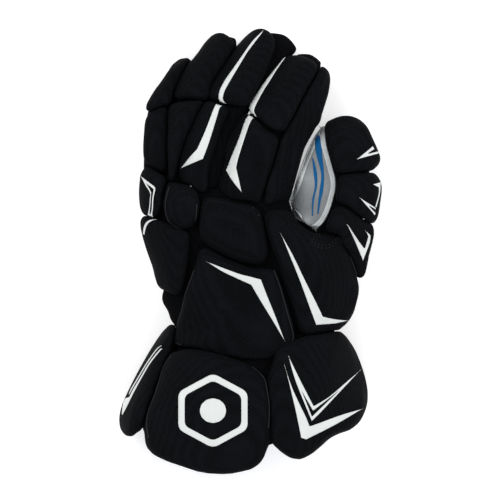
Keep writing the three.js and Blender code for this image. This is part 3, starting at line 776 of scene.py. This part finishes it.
def grow(pads):
    """Lets each cover bulge towards its neighbours until they nearly meet, and a little where it has none."""
    tree = tree_of(pads)
    owners = np.repeat(np.arange(len(pads)), [len(pad.data.polygons) for pad in pads])
    grown = []
    for number, pad in enumerate(pads):
        points = vertices_of(pad.data)
        normals = normals_of(pad.data)
        ways = np.where(normals[:, 2] > SIDEWALL_TILT, GROW_FREE, 0)
        for i, (point, normal) in enumerate(zip(points, normals)):
            start = Vector(point + normal * GROW_CLEAR)
            _, _, face, room = tree.ray_cast(start, Vector(normal), GROW_SIGHT)
            if face is not None and owners[face] != number:
                ways[i] = min(GROW_MOST, (room - GROW_CLEAR) / 2)
        grown.append(points + normals * evened(ways, pad.data, GROW_EVENING)[:, None])
    for pad, points in zip(pads, grown):
        put_vertices(pad.data, points)
        smooth_rim(pad.data)


def smooth_rim(mesh):
    """Evens a cover's underside and lower rim, and leaves its top as it is."""
    points = vertices_of(mesh)
    share = evened(np.where(normals_of(mesh)[:, 2] < RIM_TILT, 1.0, 0.0), mesh, RIM_EVENING)
    even = np.stack([evened(points[:, axis], mesh, RIM_EVENING) for axis in range(3)], axis=1)
    put_vertices(mesh, points + share[:, None] * (even - points))


# Inner glove


def make_skin(node, material):
    """The soft form of a piece of the inner glove, puffed a little and pulled to the photograph."""
    skin = softened_copy(node, SKIN_VOXEL, SKIN_SOFTENING)
    thin = skin.modifiers.new("thin", "DECIMATE")
    thin.ratio = SKIN_KEPT
    bake(skin)
    puffed = vertices_of(skin.data) + normals_of(skin.data) * SKIN_PUFF
    put_vertices(skin.data, puffed)
    pulled(skin, [*WHOLE_PULLS, *PULLS.get(node, [])])
    skin.data.materials.clear()
    skin.data.materials.append(material)
    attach(skin, "root")
    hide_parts(node)
    return skin


def two_tone(piece, second, chosen):
    """Gives the second material to the faces that the chosen function picks by middle and direction."""
    piece.data.materials.append(second)
    faces = piece.data.polygons
    middles = np.empty(len(faces) * 3)
    faces.foreach_get("center", middles)
    normals = np.empty(len(faces) * 3)
    faces.foreach_get("normal", normals)
    picked = chosen(middles.reshape(-1, 3), normals.reshape(-1, 3))
    faces.foreach_set("material_index", picked.astype(np.int32))


def on_sidewalls(_, normals):
    """On the sides of the hand or a finger, above the palm's leather."""
    return normals[:, 2] > SIDEWALL_TILT


def under_thumb_pads(places, normals):
    """On the back of the thumb, right of the line where the leather shows."""
    px = places[:, 0] / PIXEL + MIDDLE_PX[0]
    py = MIDDLE_PX[1] - places[:, 1] / PIXEL
    edge = np.interp(py, [y for _, y in LEATHER_EDGE], [x for x, _ in LEATHER_EDGE])
    return (normals[:, 2] > SIDEWALL_TILT) & (px > edge + LEATHER_TUCK_PX)


def inside_cuff(places, normals):
    """On the hollow side of the cuff's arch."""
    low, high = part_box("cuff_lining")
    across = places[:, 0] - (low.x + high.x) / 2
    return normals[:, 0] * across + normals[:, 2] * places[:, 2] < 0


# Trim laid on the pads


def at_pixel(px, py):
    """The place at the glove's middle height that the photograph shows at a pixel."""
    return Vector(((px - MIDDLE_PX[0]) * PIXEL, (MIDDLE_PX[1] - py) * PIXEL, MIDDLE_HEIGHT))


CAMERA_PLACE = at_pixel(VIEW_PX / 2, VIEW_PX / 2)
CAMERA_PLACE.z = CAMERA_HEIGHT


def tree_of(pieces):
    """One search tree over the meshes of several pieces."""
    points = []
    faces = []
    for piece in pieces:
        base = len(points)
        points.extend(vertex.co.copy() for vertex in piece.data.vertices)
        faces.extend([base + i for i in face.vertices] for face in piece.data.polygons)
    return BVHTree.FromPolygons(points, faces)


def laid_on(tree, place):
    """Where the camera sees a place of the middle height on the pieces, and the direction out of them. Past
    their edge it is the nearest place to the camera's line of sight."""
    ray = (place - CAMERA_PLACE).normalized()
    hit, normal, _, _ = tree.ray_cast(CAMERA_PLACE, ray)
    if hit is None:
        passed = [place - ray * MIDDLE_HEIGHT * (step / EDGE_LOOKS - 1) for step in range(2 * EDGE_LOOKS)]
        found = [tree.find_nearest(spot) for spot in passed]
        hit, normal, _, _ = min(found, key=lambda near: near[3])
    return hit, normal


def smooth_edge(points):
    """A line through the points, as a Catmull-Rom curve, without its last point."""
    knots = [points[0], *points, points[-1]]
    line = []
    for before, start, end, after in zip(knots, knots[1:], knots[2:], knots[3:]):
        for step in range(CURVE_STEPS):
            t = step / CURVE_STEPS
            line.append(tuple(between(*axis, t) for axis in zip(before, start, end, after)))
    return line


def between(before, start, end, after, t):
    """One coordinate of a Catmull-Rom curve, from start to end as t goes from 0 to 1."""
    slope = (end - before) * t
    bend = (2 * before - 5 * start + 4 * end - after) * t * t
    twist = (3 * start - before - 3 * end + after) * t * t * t
    return 0.5 * (2 * start + slope + bend + twist)


def outline_of(edges):
    """The closed outline through edges that meet in corners."""
    return [point for edge in edges for point in smooth_edge(edge)]


def drawn_in(outline, by):
    """The closed outline moved inwards by so many pixels, and its sharp tips drawn back along themselves."""
    points = [b for a, b in zip(outline[-1:] + outline[:-1], outline) if math.dist(a, b) > SAME_PX]
    turn = sum(a[0] * b[1] - b[0] * a[1] for a, b in zip(points, points[1:] + points[:1]))
    side = math.copysign(by, turn)
    moved = []
    for a, b, c in zip(points[-1:] + points[:-1], points, points[1:] + points[:1]):
        before = Vector((b[0] - a[0], b[1] - a[1])).normalized()
        after = Vector((c[0] - b[0], c[1] - b[1])).normalized()
        if before.dot(after) < SHARP_TURN:
            way = (after - before).normalized() * by
        else:
            along = (before + after).normalized()
            way = Vector((-along.y, along.x)) * side
        moved.append((b[0] + way.x, b[1] + way.y))
    return moved


def gridded(shape, step):
    """Cuts the flat faces by a square grid, so that they can bend."""
    low = [min(v.co[axis] for v in shape.verts) for axis in (0, 1)]
    high = [max(v.co[axis] for v in shape.verts) for axis in (0, 1)]
    for axis in (0, 1):
        across = Vector((1, 0, 0)) if axis == 0 else Vector((0, 1, 0))
        for i in range(1, int((high[axis] - low[axis]) / step) + 1):
            place = across * (low[axis] + i * step)
            everything = [*shape.verts, *shape.edges, *shape.faces]
            bmesh.ops.bisect_plane(shape, geom=everything, dist=CUT_SNAP, plane_co=place, plane_no=across)


def film(name, outlines, carriers, material, lift=TRIM_LIFT):
    """A thin flat trim laid on the carriers: outlines in pixels, the later ones holes in the first."""
    shape = bmesh.new()
    rims = []
    for number, outline in enumerate(outlines):
        rim = drawn_in(outline, TRIM_INSET_PX) if number == 0 else outline
        corners = [shape.verts.new(at_pixel(*point)) for point in rim]
        rims += [shape.edges.new((a, b)) for a, b in zip(corners, corners[1:] + corners[:1])]
    bmesh.ops.triangle_fill(shape, use_beauty=True, use_dissolve=False, edges=rims)
    gridded(shape, TRIM_STEP)
    tree = tree_of(carriers)
    for vertex in shape.verts:
        hit, normal = laid_on(tree, vertex.co)
        vertex.co = hit + normal * lift
    bmesh.ops.recalc_face_normals(shape, faces=shape.faces)
    if sum(face.normal.z * face.calc_area() for face in shape.faces) < 0:
        bmesh.ops.reverse_faces(shape, faces=shape.faces)
    mesh = bpy.data.meshes.new(name)
    shape.to_mesh(mesh)
    shape.free()
    piece = new_piece(name, mesh, material)
    solid = piece.modifiers.new("thickness", "SOLIDIFY")
    solid.thickness = TRIM_THICKNESS
    solid.offset = 1
    bake(piece)


def path_on(points, carriers, step):
    """A smooth line through pixels, laid on the carriers: places a step apart and the directions out."""
    tree = tree_of(carriers)
    line = [at_pixel(*point) for point in [*smooth_edge(points), points[-1]]]
    lengths = np.cumsum([0, *[(b - a).length for a, b in zip(line, line[1:])]])
    count = max(2, round(lengths[-1] / step) + 1)
    stops = np.linspace(0, lengths[-1], count)
    even = zip(*[np.interp(stops, lengths, [place[axis] for place in line]) for axis in range(3)])
    return [laid_on(tree, Vector(place)) for place in even]


def piping(name, points, carriers, radius, material):
    """A thin cord sewn along an edge drawn in pixels."""
    stops = path_on(points, carriers, TRIM_STEP)
    places = np.array([hit + normal * radius * CORD_RISE for hit, normal in stops])
    for _ in range(CORD_EVENING):
        places[1:-1] = (places[:-2] + 2 * places[1:-1] + places[2:]) / 4
    cord_along(name, places, radius, material)


def cord_along(name, places, radius, material):
    """A round cord through the places, with closed ends."""
    curve = bpy.data.curves.new(name, "CURVE")
    curve.dimensions = "3D"
    curve.bevel_depth = radius
    curve.bevel_resolution = 2
    curve.use_fill_caps = True
    spline = curve.splines.new("POLY")
    spline.points.add(len(places) - 1)
    for point, place in zip(spline.points, places):
        point.co = (*place, 1)
    cord = bpy.data.objects.new(name, curve)
    scene.collection.objects.link(cord)
    mesh = bpy.data.meshes.new_from_object(cord.evaluated_get(bpy.context.evaluated_depsgraph_get()))
    bpy.data.objects.remove(cord)
    mesh.shade_smooth()
    new_piece(name, mesh, material)


def mouth_binding(lining):
    """The tape that binds the cuff lining's edge at the mouth, found by looking out from inside its arch."""
    tree = tree_of([lining])
    low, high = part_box("cuff_lining")
    places = []
    for step in range(BINDING_STEPS + 1):
        angle = math.pi * step / BINDING_STEPS
        out = Vector((math.cos(angle), 0, math.sin(angle)))
        inside = [
            tree.ray_cast(Vector(((low.x + high.x) / 2, low.y + MM * depth, BINDING_FROM)), out)[0]
            for depth in range(1, BINDING_LOOK)
        ]
        hits = [hit for hit in inside if hit is not None]
        if hits:
            places.append(hits[0] - Vector((0, BINDING_RADIUS, 0)))
    cord_along("mouth_binding", places, BINDING_RADIUS, SKIN_CLOTH_PAINTED_SHADE)


def stitches(name, points, carriers, material):
    """A row of thread stitches along a seam, as one piece."""
    shape = bmesh.new()
    stops = path_on(points, carriers, STITCH_PITCH)
    for (hit, normal), (after, _) in zip(stops, stops[1:]):
        ahead = (after - hit).normalized()
        side = normal.cross(ahead).normalized()
        up = ahead.cross(side)
        middle = (hit + after) / 2 + up * STITCH_RADIUS * STITCH_RISE
        stitch = bmesh.ops.create_icosphere(shape, subdivisions=1, radius=1)
        for vertex in stitch["verts"]:
            along, across, out = vertex.co
            round_part = (side * across + up * out) * STITCH_RADIUS
            vertex.co = middle + ahead * along * STITCH_LENGTH / 2 + round_part
    mesh = bpy.data.meshes.new(name)
    shape.to_mesh(mesh)
    shape.free()
    mesh.shade_smooth()
    new_piece(name, mesh, material)


def rounded_polygon(middle, half, corners, turn, rounding):
    """A regular polygon as a closed outline with rounded corners."""
    angles = [turn + 2 * math.pi * i / corners for i in range(corners)]
    peaks = [(middle[0] + half[0] * math.cos(a), middle[1] + half[1] * math.sin(a)) for a in angles]
    outline = []
    for i, peak in enumerate(peaks):
        start = part_way(peak, peaks[i - 1], rounding)
        end = part_way(peak, peaks[(i + 1) % corners], rounding)
        for step in range(CURVE_STEPS + 1):
            t = step / CURVE_STEPS
            outline.append(part_way(part_way(start, peak, t), part_way(peak, end, t), t))
    return outline


def part_way(start, end, share):
    """The point that lies a share of the way from start to end."""
    return tuple(a + (b - a) * share for a, b in zip(start, end))


def make_badge(pads):
    """A plain ring with straight sides and a dot in it."""
    carrier = [pads["cuff_pad_middle"]]
    inner = [half - BADGE_RING for half in BADGE_HALF]
    ring = [
        rounded_polygon(BADGE_MIDDLE, half, BADGE_CORNERS, BADGE_TURN, BADGE_CORNER_ROUND)
        for half in (BADGE_HALF, inner)
    ]
    film("badge_ring", ring, carrier, WHITE_FILM)
    dot_half = [half * BADGE_DOT for half in BADGE_HALF]
    dot = rounded_polygon(BADGE_MIDDLE, dot_half, DOT_CORNERS, 0, DOT_CORNER_ROUND)
    film("badge_dot", [dot], carrier, WHITE_FILM)


# Camera, lights and floor


def make_stage():
    """Camera, floor, lamps and the sky's even light."""
    camera = bpy.data.cameras.new("camera")
    camera.lens = LENS
    camera.sensor_width = SENSOR
    camera.clip_end = CAMERA_SIGHT
    viewer = bpy.data.objects.new("camera", camera)
    viewer.location = CAMERA_PLACE
    scene.collection.objects.link(viewer)
    scene.camera = viewer

    shape = bmesh.new()
    bmesh.ops.create_grid(shape, x_segments=2, y_segments=2, size=FLOOR_HALF)
    mesh = bpy.data.meshes.new("floor")
    shape.to_mesh(mesh)
    shape.free()
    floor = bpy.data.objects.new("floor", mesh)
    scene.collection.objects.link(floor)
    mesh.materials.append(floor_paint())

    for name, (place, size, power) in SOFTBOXES.items():
        softbox(name, place, size, power)

    world = bpy.data.worlds.new("studio")
    world.use_nodes = True
    background = world.node_tree.nodes["Background"]
    background.inputs["Color"].default_value = (1, 1, 1, 1)
    background.inputs["Strength"].default_value = WORLD_LIGHT
    scene.world = world
    scene.view_settings.view_transform = "Standard"


def softbox(name, place, size, power):
    """A square lamp that looks at the glove."""
    light = bpy.data.lights.new(name, "AREA")
    light.size = size
    light.energy = power
    lamp = bpy.data.objects.new(name, light)
    lamp.location = place
    lamp.rotation_mode = "QUATERNION"
    lamp.rotation_quaternion = (-Vector(place)).to_track_quat("-Z", "Y")
    scene.collection.objects.link(lamp)


def dress():
    """All the glove's pieces, from the pads and the inner glove to the trim on them."""
    pads = make_pads()
    fabrics = {node: make_skin(node, SKIN_CLOTH_PAINTED_SHADE) for node in FABRIC_NODES}
    leathers = {node: make_skin(node, LEATHER) for node in LEATHER_NODES}
    for node, leather in leathers.items():
        two_tone(leather, SKIN_CLOTH_PAINTED_SHADE, under_thumb_pads if node == "thumb_leather" else on_sidewalls)
    lining = make_skin("cuff_lining", SKIN_CLOTH_PAINTED_SHADE)
    two_tone(lining, LINING_CLOTH, inside_cuff)
    mouth_binding(lining)
    for name, (carriers, *outlines) in STRIPES.items():
        edges = [outline_of(outline) for outline in outlines]
        film(name, edges, [pads[node] for node in carriers], WHITE_FILM)
    trim_thumb_leather(pads, fabrics, leathers)
    for name, (carriers, points) in PIPING.items():
        piping(name, points, [pads[node] for node in carriers], PIPING_RADIUS, PIPING_CLOTH_PAINTED_HIGHLIGHT)
    for name, (carriers, points) in SEAMS.items():
        stitches(name, points, [pads[node] for node in carriers], THREAD)
    make_badge(pads)


def trim_thumb_leather(pads, fabrics, leathers):
    """The thumb's blue stripes, its outer fabric, and the leather's band and welt, pale as painted light."""
    thumb = [leathers["thumb_leather"]]
    for name, edges in BLUE_STRIPES.items():
        film(name, [outline_of(edges)], thumb, BLUE_FILM)
    gusset = outline_of([LEATHER_EDGE, [LEATHER_EDGE[-1], *GUSSET_FAR, LEATHER_EDGE[0]]])
    film("thumb_gusset", [gusset], thumb, SKIN_CLOTH_PAINTED_SHADE)
    rim = smooth_edge([*LEATHER_RIM, LEATHER_RIM[0]])
    under = [*leathers.values(), *fabrics.values(), pads["thumb_base_pad"], pads["index_side_panel"]]
    film("thumb_leather_band", [rim, drawn_in(rim, LEATHER_BAND_PX)], under, PAINTED_LIGHT_LEATHER, 2 * TRIM_LIFT)
    piping("thumb_welt", LEATHER_RIM, thumb, WELT_RADIUS, PAINTED_LIGHT_LEATHER)


make_stage()
dress()
